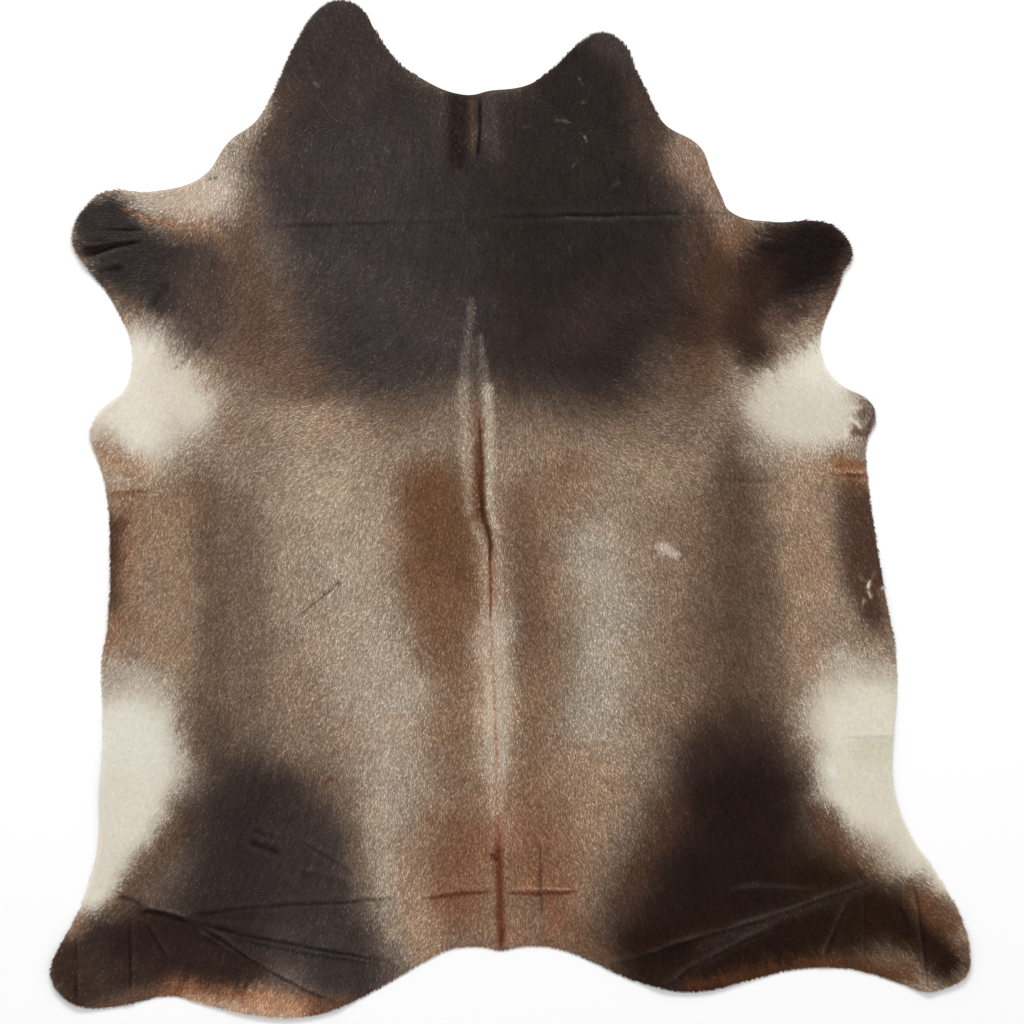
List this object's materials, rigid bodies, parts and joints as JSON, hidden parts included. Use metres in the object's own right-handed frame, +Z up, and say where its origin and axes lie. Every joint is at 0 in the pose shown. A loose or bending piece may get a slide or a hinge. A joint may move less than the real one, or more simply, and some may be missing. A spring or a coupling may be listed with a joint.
{
  "type": "cowhide rug",
  "caption": "Flat floor rug made of one whole cattle hide with the hair left on, its neck, leg and rump edges left in their natural outline, brown to black with cream flanks.",
  "frame": {"origin": "on the floor, under the middle of the hide's bounding box", "axes": "+Z up out of the hair side, +Y along the spine towards the neck, +X to the right seen from above with the neck up"},
  "size_m": [1.987, 2.1983, 0.0182],
  "materials": {
    "hair_on_hide": "short smooth lying hair with a soft sheen, near-black on the neck and rear quarters, taupe and red-brown on the back, cream at the flanks; bare suede underneath"
  },
  "bodies": {
    "root": {"hide": "hair_on_hide"}
  },
  "joints": []
}
